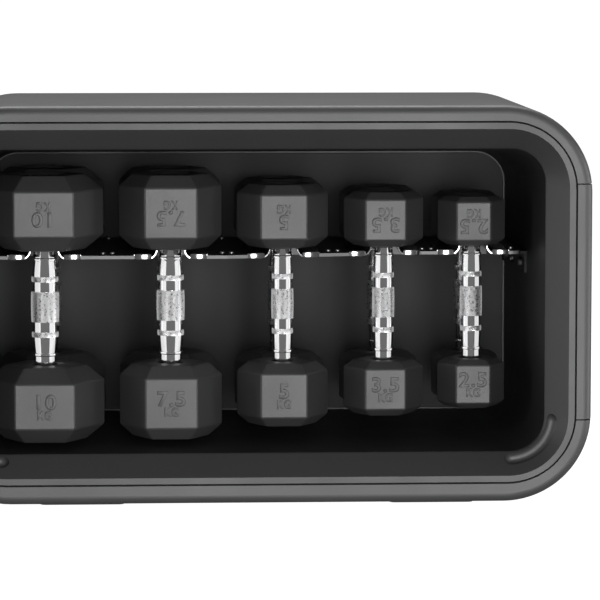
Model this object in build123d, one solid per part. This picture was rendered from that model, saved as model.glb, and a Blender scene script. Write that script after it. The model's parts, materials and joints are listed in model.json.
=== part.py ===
from build123d import *
from collections import namedtuple
from math import hypot
import os

# A moulded storage cabinet for hex dumbbells. X runs along its length, Y from front (-) to back (+),
# Z up from the floor, and the origin is on the floor under the cabinet's middle. Sizes are in mm.

# ---- Cabinet ----
LENGTH = 701.0
DEPTH = 360.0
TOP_Z = 419.4
BASE_Z = 3.0          # underside of the base cover
BASE_EXTRA = 3.2      # how much deeper the rim is along the bottom than along the top
CORNER_R = 92.0       # outer corners, seen from the front
CORNER_SHRINK = 1.2   # how fast the corners tighten towards the mouth
SKIN = 4.0            # wall of every moulding
RIM_ROUND = 9.0       # rounding of the covers' front and back rims
SEAM_HIGH = 337.2     # joint between the top cover and the side panels
SEAM_LOW = 89.4       # joint between the side panels and the base cover
SEAM_GAP = 1.2

FRONT_Y = -DEPTH / 2
BACK_Y = DEPTH / 2

# Insets from the cabinet's outline, each one running all the way round
RING_IN = 16.0        # inner edge of the covers' front rim
LINER_OUT = 18.0      # outer edge of the liner's flange
FLANGE_IN = 24.5      # inner edge of the liner's flange
MOUTH_IN = 46.5       # foot of the bevel, where the well begins

MOUTH_Y = FRONT_Y + 30
WELL_Y = FRONT_Y + 320
WELL_HALF = 291.0     # half width, bottom, top and corner of the well at its back
WELL_LOW = 61.5
WELL_HIGH = 354.4
WELL_R = 34.0
LEDGE = 1.5           # lip that the back panel is seated against
PANEL_T = 3.0
PANEL_GROOVE = 1.0    # shadow line between the lip and the panel's raised field

GRIP_R = 8.5          # scooped finger grips in the two lower corners of the bevel
GRIP_WALL = 3.0
GRIP_IN = 39.5        # inset of the grips' middle line
GRIP_START = 7.0      # degrees below level
GRIP_ARC = 80.0

# ---- Frame of square tube between the covers and the liner ----
TUBE = 25.0
TUBE_WALL = 2.0
HOOP_IN = SKIN + 1.5
FRONT_HOOP_Y = FRONT_Y + 32
REAR_COVER_Y = BACK_Y - 6
REAR_HOOP_Y = REAR_COVER_Y - TUBE
COVER_SCREW_IN = 23.0
RAIL_X = 184.0

FOOT_LENGTH = 88.0
FOOT_WIDTH = 24.0
FOOT_POCKET = 1.5
FOOT_Y = 146.0

# ---- Shelf ----
SHELF_Z = 258.2       # top of the plate
SHELF_T = 3.4
SHELF_HALF = 288.0
SHELF_LEFT_Y = FRONT_Y + 69     # front edge beside the large weights
SHELF_RIGHT_Y = FRONT_Y + 112   # front edge beside the small weights
SHELF_BEND_LEFT = -30.0
SHELF_BEND_RIGHT = 180.0
SHELF_BACK_Y = WELL_Y - 4
SHELF_FLANGE = 20.0
SLOT_R = 23.0         # half width of a slot in the plate
SADDLE_IN = 14.2      # half width of the gap between a saddle's lips
SADDLE_OUT = 38.5
SADDLE_FLAT = 2.2     # thickness of a saddle's flange on the plate
LIP_RISE = 5.5        # the lips' tops over the plate
SADDLE_LOW = SHELF_Z - SHELF_T - 0.6
HEM = 3.0             # how far a saddle wraps round in front of the plate

RIB_WIDTH = 20.0
RIB_HEIGHT = 3.0
RIB_SETBACK = 60.0    # from the plate's front edge
BRACKET_T = 3.0
BRACKET_IN = 261.5
BRACKET_SETBACK = 40.0   # from the plate's front edge
BRACKET_LOW = SHELF_Z - 27.0
BOLT_Z = SHELF_Z - 17.0
SIDE_RAIL_Z = BOLT_Z

# ---- Dumbbells, standing on end with a flat towards the front ----
HEAD_Z = SHELF_Z + 6.0        # underside of every upper head
HANDLE_LENGTH = 123.0
COVER_T = 3.5         # rubber over the iron core
EDGE_ROUND = 3.5
DISH = 4.5            # width of the dish round the handle
REAR_AXIS_Y = FRONT_Y + 210
ROW_GAP = 10.5        # between a front dumbbell and the one behind it

Weight = namedtuple("Weight", "name x flats side bevel bevel_in grip_r collar_r tang")
WEIGHTS = [
    Weight("10", -223.2, 109.0, 47.6, 16.2, 17.0, 15.0, 11.8, 52.0),
    Weight("7_5", -89.6, 95.5, 53.0, 13.2, 12.5, 15.0, 11.8, 50.0),
    Weight("5", 30.5, 85.5, 47.0, 10.5, 11.5, 12.0, 10.0, 42.0),
    Weight("3_5", 139.8, 75.0, 42.5, 8.2, 10.0, 12.0, 10.0, 34.0),
    Weight("2_5", 235.6, 64.0, 40.0, 6.5, 8.0, 12.0, 10.0, 30.0),
]
ALONG = (0, 1, 0)


# ---- Helpers ----
def upright(x, y, z):
    """A plane facing the front, with its second direction up."""
    return Plane(origin=(x, y, z), x_dir=(1, 0, 0), z_dir=(0, -1, 0))


def rounded_face(half_width, low, high, radius, y):
    return upright(0, y, (low + high) / 2) * RectangleRounded(2 * half_width, high - low, radius)


def corner_radius(inset):
    return CORNER_R - CORNER_SHRINK * inset


def ring_face(inset, y):
    """The cabinet's outline, moved inwards by inset."""
    low = BASE_Z + inset + BASE_EXTRA * min(inset / RING_IN, 1)
    return rounded_face(LENGTH / 2 - inset, low, TOP_Z - inset, corner_radius(inset), y)


def well_face(grow, y):
    """The outline of the well's back, moved outwards by grow."""
    return rounded_face(WELL_HALF + grow, WELL_LOW - grow, WELL_HIGH + grow, WELL_R + grow, y)


def slab(face, thickness):
    return extrude(face, amount=thickness, dir=ALONG)


def block(x_span, y_span, z_span):
    """A box between the lowest and highest corners given as three spans."""
    spans = (x_span, y_span, z_span)
    sizes = [high - low for low, high in spans]
    middle = [(high + low) / 2 for low, high in spans]
    return Pos(*middle) * Box(*sizes)


def rod(point, direction, radius, length):
    """A cylinder that starts at point and runs along direction."""
    return Plane(origin=point, z_dir=direction) * Cylinder(
        radius, length, align=(Align.CENTER, Align.CENTER, Align.MIN))


def both_sides(solid):
    return [solid, mirror(solid, about=Plane.YZ)]


def wall_x(y):
    """Inner face of the well's right wall at depth y, level with the shelf."""
    mouth_x = LENGTH / 2 - MOUTH_IN
    return mouth_x + (WELL_HALF - mouth_x) * (y - MOUTH_Y) / (WELL_Y - MOUTH_Y)


def save(name, *solids):
    if len(solids) == 1:
        shape = solids[0]
    else:
        shape = Compound(children=[piece.solid() for piece in solids])
    shape.label = name
    export_step(shape, f"parts/{name}.step")


# ---- Covers ----
def rounded_slab(face, thickness, radius):
    """A slab whose front and back rims are rounded."""
    solid = slab(face, thickness)
    rims = solid.edges().group_by(Axis.Y)
    return fillet(rims[0] + rims[-1], radius)


def cabinet_shell():
    shell = rounded_slab(ring_face(0, FRONT_Y), DEPTH, RIM_ROUND)
    shell -= rounded_slab(ring_face(SKIN, FRONT_Y + SKIN), DEPTH - 2 * SKIN, RIM_ROUND - SKIN)
    return shell - slab(ring_face(RING_IN, FRONT_Y), DEPTH)


def shell_band(shell, x_span, low, high):
    return shell & block(x_span, (FRONT_Y - 1, BACK_Y + 1), (low, high))


def feet():
    pads = []
    for x in (-RAIL_X, RAIL_X):
        for y in (-FOOT_Y, FOOT_Y):
            outline = Pos(x, y) * RectangleRounded(FOOT_LENGTH, FOOT_WIDTH, 6)
            pads.append(extrude(outline, amount=BASE_Z + FOOT_POCKET))
    return pads


def front_seal():
    """The rubber strip that fills the joint between the covers and the liner."""
    outer = slab(ring_face(RING_IN + 0.2, FRONT_Y + 1), SKIN - 1)
    return outer - slab(ring_face(LINER_OUT - 0.2, FRONT_Y + 1), SKIN - 1)


# ---- Liner ----
def grip_scoop(radius):
    """A bar bent round the lower right corner, half sunk in the bevel."""
    bend = corner_radius(GRIP_IN)
    corner = (LENGTH / 2 - GRIP_IN - bend, 0, BASE_Z + BASE_EXTRA + GRIP_IN + bend)
    middle_y = FRONT_Y + (MOUTH_Y - FRONT_Y) * (GRIP_IN - FLANGE_IN) / (MOUTH_IN - FLANGE_IN)
    axis = Axis(corner, ALONG)
    start = Pos(corner[0] + bend, middle_y, corner[2])
    bar = revolve(start * Circle(radius), axis=axis, revolution_arc=GRIP_ARC)
    bar += start * Sphere(radius)
    bar += (start * Sphere(radius)).rotate(axis, GRIP_ARC)
    return bar.rotate(axis, GRIP_START)


def tub_liner():
    body = slab(ring_face(LINER_OUT, FRONT_Y), SKIN)
    body += loft([ring_face(FLANGE_IN - SKIN, FRONT_Y), ring_face(MOUTH_IN - SKIN, MOUTH_Y)], ruled=True)
    body += loft([ring_face(MOUTH_IN - SKIN, MOUTH_Y), well_face(SKIN, WELL_Y)], ruled=True)
    body += slab(well_face(SKIN, WELL_Y), SKIN)
    for pocket in both_sides(grip_scoop(GRIP_R + GRIP_WALL)):
        body += pocket
    body -= loft([ring_face(FLANGE_IN, FRONT_Y), ring_face(MOUTH_IN, MOUTH_Y)], ruled=True)
    body -= loft([ring_face(MOUTH_IN, MOUTH_Y), well_face(0, WELL_Y)], ruled=True)
    body -= slab(well_face(-LEDGE, WELL_Y), SKIN)
    for scoop in both_sides(grip_scoop(GRIP_R)):
        body -= scoop
    return body


def inner_back_panel():
    """A sheet behind the liner's lip, with a raised field that fills the opening."""
    sheet = slab(well_face(SKIN, WELL_Y + SKIN), PANEL_T)
    field = slab(well_face(-LEDGE - PANEL_GROOVE, WELL_Y + SKIN - PANEL_T), PANEL_T)
    return sheet + field


# ---- Frame ----
def hoop(y):
    outer = slab(ring_face(HOOP_IN, y), TUBE) - slab(ring_face(HOOP_IN + TUBE, y), TUBE)
    inside = TUBE - 2 * TUBE_WALL
    hollow = slab(ring_face(HOOP_IN + TUBE_WALL, y + TUBE_WALL), inside)
    hollow -= slab(ring_face(HOOP_IN + TUBE - TUBE_WALL, y + TUBE_WALL), inside)
    return outer - hollow


def rail(x, z):
    """A square tube from the front hoop to the rear one."""
    span = (FRONT_HOOP_Y + TUBE, REAR_HOOP_Y)
    half = TUBE / 2
    inner = half - TUBE_WALL
    tube = block((x - half, x + half), span, (z - half, z + half))
    return tube - block((x - inner, x + inner), span, (z - inner, z + inner))


def frame_rails():
    high = TOP_Z - HOOP_IN - TUBE / 2
    low = BASE_Z + BASE_EXTRA + HOOP_IN + TUBE / 2
    side = LENGTH / 2 - HOOP_IN - TUBE / 2
    places = [(RAIL_X, high), (RAIL_X, low), (side, SIDE_RAIL_Z)]
    return [tube for x, z in places for tube in both_sides(rail(x, z))]


def cover_screw_places():
    """Ten points round the rear hoop, clear of the covers' rims."""
    side = LENGTH / 2 - COVER_SCREW_IN
    heights = (BASE_Z + BASE_EXTRA + COVER_SCREW_IN, TOP_Z - COVER_SCREW_IN)
    level = [(x, z) for x in (-220, 0, 220) for z in heights]
    return level + [(x, z) for x in (-side, side) for z in (130, 290)]


def screw(point, direction, head_r, head_h, shank_r, shank_length):
    """A pan-head screw: its head stands back from point, its shank runs along direction."""
    shank = rod(point, direction, shank_r, shank_length)
    back = tuple(-part for part in direction)
    head = rod(point, back, head_r, head_h)
    rim = head.edges().filter_by(GeomType.CIRCLE).sort_by(Axis(point, back))[-1]
    return shank + fillet(rim, head_h * 0.6)


# ---- Shelf ----
def front_edge_y(x):
    """Front edge of the shelf plate at x: straight, slanting back, then straight again."""
    share = (x - SHELF_BEND_LEFT) / (SHELF_BEND_RIGHT - SHELF_BEND_LEFT)
    share = min(max(share, 0), 1)
    return SHELF_LEFT_Y + share * (SHELF_RIGHT_Y - SHELF_LEFT_Y)


def shelf_zone(lead, low, high):
    """The plate's outline with its front edge moved forward by lead, between two heights."""
    points = [
        (-SHELF_HALF, SHELF_BACK_Y),
        (-SHELF_HALF, SHELF_LEFT_Y - lead),
        (SHELF_BEND_LEFT, SHELF_LEFT_Y - lead),
        (SHELF_BEND_RIGHT, SHELF_RIGHT_Y - lead),
        (SHELF_HALF, SHELF_RIGHT_Y - lead),
        (SHELF_HALF, SHELF_BACK_Y),
    ]
    outline = Polygon(*points)
    front_corners = outline.vertices().group_by(Axis.X)
    ends = [group.sort_by(Axis.Y)[0] for group in (front_corners[0], front_corners[-1])]
    outline = fillet(ends, 12)
    return extrude(Pos(0, 0, low) * outline, amount=high - low)


def bridges():
    """Middle of the plate between each slot and the next."""
    return [(left.x + right.x) / 2 for left, right in zip(WEIGHTS, WEIGHTS[1:])]


def front_screw_places():
    """Two short screws in the plate between each slot and the next."""
    return [(x + aside, front_edge_y(x) + 30) for x in bridges() for aside in (-5, 5)]


def rear_screw_places():
    """One screw through the plate and each rib, and two through it and each bracket."""
    places = [(x, SHELF_BACK_Y - 20) for x in bridges()]
    for x in (-SHELF_HALF + 8, SHELF_HALF - 8):
        places += [(x, FRONT_Y + 150), (x, SHELF_BACK_Y - 30)]
    return places


def shelf_screws(places, length):
    return [screw((x, y, SHELF_Z), (0, 0, -1), 2.8, 1.8, 1.9, length) for x, y in places]


def drilled(solid, radius=2.0):
    for x, y in front_screw_places() + rear_screw_places():
        solid -= rod((x, y, SHELF_Z + 1), (0, 0, -1), radius, 24)
    return solid


def shelf_plate():
    plate = shelf_zone(0, SHELF_Z - SHELF_T, SHELF_Z)
    plate += block((-SHELF_HALF + 18, SHELF_HALF - 18), (SHELF_BACK_Y - SHELF_T, SHELF_BACK_Y),
                   (SHELF_Z - SHELF_FLANGE, SHELF_Z))
    for weight in WEIGHTS:
        height = (SHELF_Z - 2 * SHELF_T, SHELF_Z + 1)
        plate -= block((weight.x - SLOT_R, weight.x + SLOT_R), (FRONT_Y, REAR_AXIS_Y), height)
        plate -= rod((weight.x, REAR_AXIS_Y, height[0]), (0, 0, 1), SLOT_R, height[1] - height[0])
    return drilled(plate)


def saddle(x):
    """The liner of one slot: two lips that curve up out of the slot, and a flange on the plate."""
    flat_z, lip_z = SHELF_Z + SADDLE_FLAT, SHELF_Z + LIP_RISE
    section = upright(x, REAR_AXIS_Y, 0) * Polygon(
        (SADDLE_IN + 5.8, SADDLE_LOW), (SLOT_R, SADDLE_LOW), (SLOT_R, SHELF_Z), (SADDLE_OUT, SHELF_Z),
        (SADDLE_OUT, flat_z), (SADDLE_IN + 3.4, flat_z), (SADDLE_IN + 1.7, lip_z), (SADDLE_IN, lip_z),
        (SADDLE_IN + 0.3, SHELF_Z + 3.2), (SADDLE_IN + 2, SHELF_Z - 0.6))
    middle = Plane(origin=(x, 0, 0), z_dir=(1, 0, 0))
    leg = extrude(section, amount=REAR_AXIS_Y - FRONT_Y)
    low, high = SADDLE_LOW - 1, lip_z + 1
    liner = leg + mirror(leg, about=middle)
    liner = liner & shelf_zone(HEM, low, high)
    liner += revolve(section, axis=Axis((x, REAR_AXIS_Y, 0), (0, 0, 1)), revolution_arc=180)
    wrap = block((x + SLOT_R - 1, x + SADDLE_OUT), (FRONT_Y, REAR_AXIS_Y), (SADDLE_LOW, SHELF_Z + 1))
    front_strip = shelf_zone(HEM, low, high) - shelf_zone(0, low, high)
    for hem in (wrap, mirror(wrap, about=middle)):
        liner += hem & front_strip
    return liner


def shelf_ribs():
    ribs = []
    for x in bridges():
        span = (front_edge_y(x) + RIB_SETBACK, SHELF_BACK_Y - SHELF_T)
        height = (SHELF_Z - SHELF_T - RIB_HEIGHT, SHELF_Z - SHELF_T)
        ribs.append(drilled(block((x - RIB_WIDTH / 2, x + RIB_WIDTH / 2), span, height)))
    return ribs


def bolt_places(front):
    return [front + 22, (front + SHELF_BACK_Y) / 2, SHELF_BACK_Y - 40]


def angle_bracket(front):
    """The steel angle on the right wall that carries one end of the plate."""
    back = SHELF_BACK_Y - 6
    near, far = wall_x(front) - 0.2, wall_x(back) - 0.2
    ledge = Polygon((BRACKET_IN, front), (near, front), (far, back), (BRACKET_IN, back))
    web = Polygon((near - BRACKET_T, front), (near, front), (far, back), (far - BRACKET_T, back))
    top = SHELF_Z - SHELF_T
    bracket = extrude(Pos(0, 0, top - BRACKET_T) * ledge, amount=BRACKET_T)
    bracket += extrude(Pos(0, 0, BRACKET_LOW) * web, amount=top - BRACKET_LOW)
    for y in bolt_places(front):
        bracket -= rod((near - 20, y, BOLT_Z), (1, 0, 0), 3.1, 40)
    return bracket


def bracket_bolts(front):
    rail_face = LENGTH / 2 - HOOP_IN - TUBE
    bolts = []
    for y in bolt_places(front):
        seat = wall_x(y) - BRACKET_T - 0.6
        reach = rail_face + TUBE_WALL + 6 - seat
        bolts.append(screw((seat, y, BOLT_Z), (1, 0, 0), 5.5, 3.0, 3.0, reach))
    return bolts


def bolt_sleeves(front):
    """Spacers that carry the load across the gap between the liner and the side rail."""
    rail_face = LENGTH / 2 - HOOP_IN - TUBE
    sleeves = []
    for y in bolt_places(front):
        start = wall_x(y) + SKIN + 0.4
        tube = rod((start, y, BOLT_Z), (1, 0, 0), 6.0, rail_face - start)
        sleeves.append(tube - rod((start, y, BOLT_Z), (1, 0, 0), 3.1, rail_face - start))
    return sleeves


# ---- Dumbbells ----
def hexagon(apothem, round_r, z):
    face = RegularPolygon(apothem, 6, major_radius=False)
    if round_r:
        face = fillet(face.vertices(), round_r)
    return Pos(0, 0, z) * face


def hex_block(apothem, side, bevel, bevel_in, round_r, start):
    """A hexagonal block from height start, with its two ends bevelled."""
    heights = [start, start + bevel, start + bevel + side, start + 2 * bevel + side]
    small = apothem - bevel_in
    small_r = round_r * small / apothem
    solid = extrude(hexagon(apothem, round_r, heights[1]), amount=side)
    solid += loft([hexagon(small, small_r, heights[0]), hexagon(apothem, round_r, heights[1])], ruled=True)
    solid += loft([hexagon(apothem, round_r, heights[2]), hexagon(small, small_r, heights[3])], ruled=True)
    return solid


def head_length(weight):
    return weight.side + 2 * weight.bevel


def iron_core(weight):
    """The casting inside a head, COVER_T smaller all over, bored for the handle's tang."""
    slant = hypot(weight.bevel, weight.bevel_in)
    apothem = weight.flats / 2 - COVER_T
    side = weight.side - 2 * COVER_T * (slant - weight.bevel) / weight.bevel_in
    bevel = (head_length(weight) - 2 * COVER_T - side) / 2
    small = weight.flats / 2 - (weight.bevel_in * (weight.bevel - COVER_T) + COVER_T * slant) / weight.bevel
    return hex_block(apothem, side, bevel, apothem - small, 0, COVER_T)


def tang_rod(weight):
    return rod((0, 0, -5), (0, 0, 1), weight.collar_r - 1.5, 5 + COVER_T + weight.tang)


def head_pieces(weight):
    """A head with its inner end at height 0 and its outer end up: rubber cover and iron core."""
    core = iron_core(weight)
    cover = hex_block(weight.flats / 2, weight.side, weight.bevel, weight.bevel_in, EDGE_ROUND, 0)
    cover -= core
    cover -= Pos(0, 0, 1) * Cone(weight.collar_r + DISH, weight.collar_r, 2)
    cover -= Pos(0, 0, head_length(weight)) * Cylinder(0.6 * (weight.flats / 2 - weight.bevel_in), 3)
    cover -= tang_rod(weight)
    return cover, core - tang_rod(weight)


def handle(weight):
    """The turned steel handle, standing with its middle at height 0."""
    grip, collar, tang = weight.grip_r, weight.collar_r, weight.collar_r - 1.5
    face = HANDLE_LENGTH / 2
    end = face + COVER_T + weight.tang
    half = [
        (grip, 0), (0.975 * grip, 14.5), (0.93 * grip, 16.2),
        (0.85 * grip, 16.8), (0.85 * grip, 26.5),
        (0.95 * grip, 26.7), (0.95 * grip, 32.2),
        (0.883 * grip, 32.4), (collar, 49.5),
        (collar + 0.9, 49.7), (collar + 0.9, 52.3),
        (collar, 52.5), (collar, face - 1.9),
        (tang, face - 1.9), (tang, end),
    ]
    mirrored = [(r, -z) for r, z in reversed(half[1:])]
    outline = Plane.XZ * Polygon(*([(0, -end)] + mirrored + half + [(0, end)]))
    return revolve(outline, axis=Axis.Z)


def dumbbell(weight, y):
    """Handle, two rubber covers and two cores, hung with the upper head over the shelf."""
    cover, core = head_pieces(weight)
    top = Pos(weight.x, y, HEAD_Z)
    bottom = Pos(weight.x, y, HEAD_Z - HANDLE_LENGTH) * Rot(180, 0, 0)
    middle = Pos(weight.x, y, HEAD_Z - HANDLE_LENGTH / 2)
    return middle * handle(weight), top * cover, bottom * cover, [top * core, bottom * core]


# ---- The pieces, one file for each node ----
os.makedirs("parts", exist_ok=True)

shell = cabinet_shell()
half_gap = SEAM_GAP / 2
whole = (-LENGTH, LENGTH)
top_cover = shell_band(shell, whole, SEAM_HIGH + half_gap, TOP_Z + 1)
base_cover = shell_band(shell, whole, BASE_Z - 1, SEAM_LOW - half_gap)
pads = feet()
for pad in pads:
    base_cover -= pad
save("top_cover", top_cover)
save("base_cover", base_cover)
save("side_panel_right", shell_band(shell, (0, LENGTH), SEAM_LOW + half_gap, SEAM_HIGH - half_gap))
save("side_panel_left", shell_band(shell, (-LENGTH, 0), SEAM_LOW + half_gap, SEAM_HIGH - half_gap))
save("feet", *pads)
save("front_seal", front_seal())

liner = tub_liner()
left_front, right_front = SHELF_LEFT_Y + BRACKET_SETBACK, SHELF_RIGHT_Y + BRACKET_SETBACK
for front, side in ((right_front, 1), (left_front, -1)):
    for y in bolt_places(front):
        liner -= rod((side * (wall_x(y) - 5), y, BOLT_Z), (side, 0, 0), 3.1, 15)
save("tub_liner", liner)
save("inner_back_panel", inner_back_panel())

rear_cover = slab(ring_face(RING_IN + 0.4, REAR_COVER_Y), SKIN)
rear_hoop = hoop(REAR_HOOP_Y)
cover_screws = []
for x, z in cover_screw_places():
    start = (x, REAR_COVER_Y + SKIN, z)
    cover_screws.append(screw(start, (0, -1, 0), 4.5, 1.6, 2.0, 12))
    rear_cover -= rod(start, (0, -1, 0), 2.1, 16)
    rear_hoop -= rod(start, (0, -1, 0), 2.1, 16)
save("rear_cover", rear_cover)
save("frame_front_hoop", hoop(FRONT_HOOP_Y))
save("frame_rear_hoop", rear_hoop)
save("cover_screws", *cover_screws)

rails = []
rail_face = LENGTH / 2 - HOOP_IN - TUBE
for tube in frame_rails():
    for front, side in ((right_front, 1), (left_front, -1)):
        for y in bolt_places(front):
            tube -= rod((side * (rail_face - 1), y, BOLT_Z), (side, 0, 0), 3.1, TUBE_WALL + 2)
    rails.append(tube)
save("frame_rails", *rails)

save("shelf_plate", shelf_plate())
save("slot_saddles", *[saddle(weight.x) for weight in WEIGHTS])
save("shelf_ribs", *shelf_ribs())
left = mirror(angle_bracket(left_front), about=Plane.YZ)
save("shelf_brackets", drilled(angle_bracket(right_front)), drilled(left))
save("shelf_bolts", *bracket_bolts(right_front),
     *[mirror(bolt, about=Plane.YZ) for bolt in bracket_bolts(left_front)])
save("bolt_sleeves", *bolt_sleeves(right_front),
     *[mirror(sleeve, about=Plane.YZ) for sleeve in bolt_sleeves(left_front)])
save("shelf_screws", *shelf_screws(front_screw_places(), 5), *shelf_screws(rear_screw_places(), 9))

for weight in WEIGHTS:
    front_axis_y = REAR_AXIS_Y - weight.flats - ROW_GAP
    for row, y in (("front", front_axis_y), ("rear", REAR_AXIS_Y)):
        grip, upper, lower, cores = dumbbell(weight, y)
        name = f"dumbbell_{weight.name}_{row}"
        save(f"{name}_handle", grip)
        save(f"{name}_upper_head", upper)
        save(f"{name}_lower_head", lower)
        save(f"{name}_cores", *cores)
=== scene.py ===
import json
import math
from collections import namedtuple

import bmesh
import bpy
from mathutils import Matrix, Vector


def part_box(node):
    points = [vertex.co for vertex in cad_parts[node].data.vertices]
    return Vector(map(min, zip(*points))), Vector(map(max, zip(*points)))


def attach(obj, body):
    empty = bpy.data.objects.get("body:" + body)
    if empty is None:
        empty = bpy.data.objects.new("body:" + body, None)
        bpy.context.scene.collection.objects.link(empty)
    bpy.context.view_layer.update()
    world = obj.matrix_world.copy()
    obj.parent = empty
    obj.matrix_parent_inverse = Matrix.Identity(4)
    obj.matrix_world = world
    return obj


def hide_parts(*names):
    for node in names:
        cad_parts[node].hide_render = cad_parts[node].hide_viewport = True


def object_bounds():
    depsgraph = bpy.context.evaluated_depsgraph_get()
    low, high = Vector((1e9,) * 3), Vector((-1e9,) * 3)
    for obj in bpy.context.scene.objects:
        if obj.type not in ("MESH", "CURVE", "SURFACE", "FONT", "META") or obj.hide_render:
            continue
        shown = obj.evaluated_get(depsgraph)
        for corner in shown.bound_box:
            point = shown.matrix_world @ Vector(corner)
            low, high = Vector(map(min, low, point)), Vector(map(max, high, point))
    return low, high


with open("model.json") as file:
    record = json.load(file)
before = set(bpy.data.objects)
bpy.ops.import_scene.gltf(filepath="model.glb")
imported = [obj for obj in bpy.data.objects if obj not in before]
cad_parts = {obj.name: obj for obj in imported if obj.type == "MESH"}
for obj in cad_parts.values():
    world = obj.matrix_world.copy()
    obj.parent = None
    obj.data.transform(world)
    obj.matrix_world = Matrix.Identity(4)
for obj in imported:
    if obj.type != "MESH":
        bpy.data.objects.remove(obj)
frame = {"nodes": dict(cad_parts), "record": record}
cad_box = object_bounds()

# ---- Camera and surroundings ----
CAMERA_AT = (-0.134, -3.880, 0.5777)
CAMERA_LOOKS_AT = (0.044, -0.180, 0.2172)
CAMERA_LENS = 214.3
FLOOR_RADIUS = 60

# ---- Colours, linear ----
COVER_GREY = (0.040, 0.040, 0.041)
BEVEL_BLACK = (0.027, 0.027, 0.028)
# Painted shade: the liner's colour inside the well, darker than at the bevel to stand in for the shade
# that falls there.
WELL_SHADE_BLACK = (0.008, 0.008, 0.0082)
PANEL_GREY = (0.020, 0.020, 0.0205)
RUBBER_BLACK = (0.026, 0.026, 0.0265)
PAINT_BLACK = (0.008, 0.008, 0.008)
BARE_STEEL = (0.42, 0.42, 0.43)
CHROME = (0.88, 0.88, 0.89)
STRIP_BLACK = (0.004, 0.004, 0.004)
# Painted highlight: the colour of plate faces that point to the front, where the front lamp falls.
FRONT_HIGHLIGHT_GREY = (0.09, 0.09, 0.092)

MOUTH_Y = cad_box[0][1] + 0.030  # where the bevel ends and the well begins

# ---- Nodes ----
NOISE_SPAN = (0.3, 0.7)  # the part of a noise pattern's range that it mostly uses
MIX_COLOR_A = 6          # colour sockets of a Mix node, which share their names with others
MIX_COLOR_B = 7
MIX_COLOR_RESULT = 2

# ---- Dumbbells ----
Shape = namedtuple("Shape", "label bevel bevel_in grip collar")
SHAPES = {
    "10": Shape("10", 0.0162, 0.0170, 0.0150, 0.0118),
    "7_5": Shape("7.5", 0.0132, 0.0125, 0.0150, 0.0118),
    "5": Shape("5", 0.0105, 0.0115, 0.0120, 0.0100),
    "3_5": Shape("3.5", 0.0077, 0.0100, 0.0120, 0.0100),
    "2_5": Shape("2.5", 0.0058, 0.0080, 0.0120, 0.0100),
}
ROWS = ("front", "rear")
EDGE_ROUND = 0.0018
DISH = 0.0045
Mark = namedtuple("Mark", "height stretch edge rise")
NUMBER = Mark(0.0152, 1.06, 0.0005, 0.0053)
UNIT = Mark(0.0090, 0.84, 0.0003, -0.0085)
MARK_RAISED = 0.0007
MARK_BOLD = 0.00015
GRIP_LENGTH = 0.0320
RING_LENGTH = 0.0054
RING_RISE = 0.0295       # from the grip's middle to a knurled ring's middle
SHAFT_SHARE = 0.85       # radius of the plain shaft, as a share of the grip's
NECK_SHARE = 0.883       # radius where the neck starts
NECK_START = 0.0322
NECK_LENGTH = 0.0171
NECK_STEPS = 8
KNURL_DEPTH = 0.00026
KNURL_PITCH = 0.0016

# ---- Saddles ----
LIP_R = 0.0142
FLANGE_R = 0.0385
PATH_RADIUS = 0.0265
SADDLE_SHEET = 0.0011
HEM_DROP = 0.0061
HEM_RISE = 0.0021        # how far its top stands over the plate
HEM_BULGE = 0.0021
HEM_THICK = 0.0006

# ---- Lights: place, size and watts; a box with no height is square ----
Box = namedtuple("Box", "place width height watts")
FRONT_BOX = Box((0.45, -3.5, 0.05), 1.7, 1.5, 126)
SIDE_BOX = Box((2.3, -2.2, 0.6), 1.6, None, 9)
RIM_BOX = Box((2.8, -0.4, 0.3), 1.6, None, 45)
BACK_BOX = Box((0, 1.1, 2.4), 2.2, 0.8, 60)
MIDDLE = (0, -0.1, 0.2)
FLOOR_GLOW = 0.05
ROOM_LIGHT = 0.16

# ---- Cards that only the polished pieces mirror ----
OUTER_CARDS = ((76, 1.6), (128, 1.0))  # turn from the front in degrees, and width
OUTER_DISTANCE = 1.3
OUTER_HEIGHT = 2.6
OUTER_WATTS_PER_METRE = 8.75
CARD_TURN = 70
GRIP_CARD_TURN = 132
CARD_DISTANCE = 0.05
CARD_WIDTH = 0.060
CARD_HEIGHT = 0.150
CARD_WATTS = 0.023
GRIP_CARD_WATTS = 0.012


# ---- Node helpers ----
def map_range(tree, source, start, end, low, high):
    """Takes start to end over to low to high, and stays there beyond both ends."""
    node = tree.nodes.new("ShaderNodeMapRange")
    values = {"From Min": start, "From Max": end, "To Min": low, "To Max": high}
    for socket, value in values.items():
        node.inputs[socket].default_value = value
    tree.links.new(source, node.inputs["Value"])
    return node.outputs["Result"]


# ---- Shader groups ----
def new_group(name, inputs, outputs):
    group = bpy.data.node_groups.new(name, "ShaderNodeTree")
    for socket, default in inputs.items():
        made = group.interface.new_socket(socket, in_out="INPUT", socket_type="NodeSocketFloat")
        made.default_value = default
    for socket, kind in outputs.items():
        group.interface.new_socket(socket, in_out="OUTPUT", socket_type=kind)
    return group, group.nodes.new("NodeGroupInput"), group.nodes.new("NodeGroupOutput")


def make_grain_group():
    """A moulded or cast skin: fine grain for the bump, and broad soft patches for colour."""
    inputs = {"Grain Scale": 2500.0, "Patch Scale": 14.0}
    outputs = {"Grain": "NodeSocketFloat", "Patches": "NodeSocketFloat"}
    group, given, result = new_group("moulded_grain", inputs, outputs)
    place = group.nodes.new("ShaderNodeTexCoord")
    for source, target, detail in (("Grain Scale", "Grain", 2.0), ("Patch Scale", "Patches", 3.0)):
        noise = group.nodes.new("ShaderNodeTexNoise")
        noise.inputs["Detail"].default_value = detail
        group.links.new(place.outputs["Object"], noise.inputs["Vector"])
        group.links.new(given.outputs[source], noise.inputs["Scale"])
        group.links.new(noise.outputs["Fac"], result.inputs[target])
    return group


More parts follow.
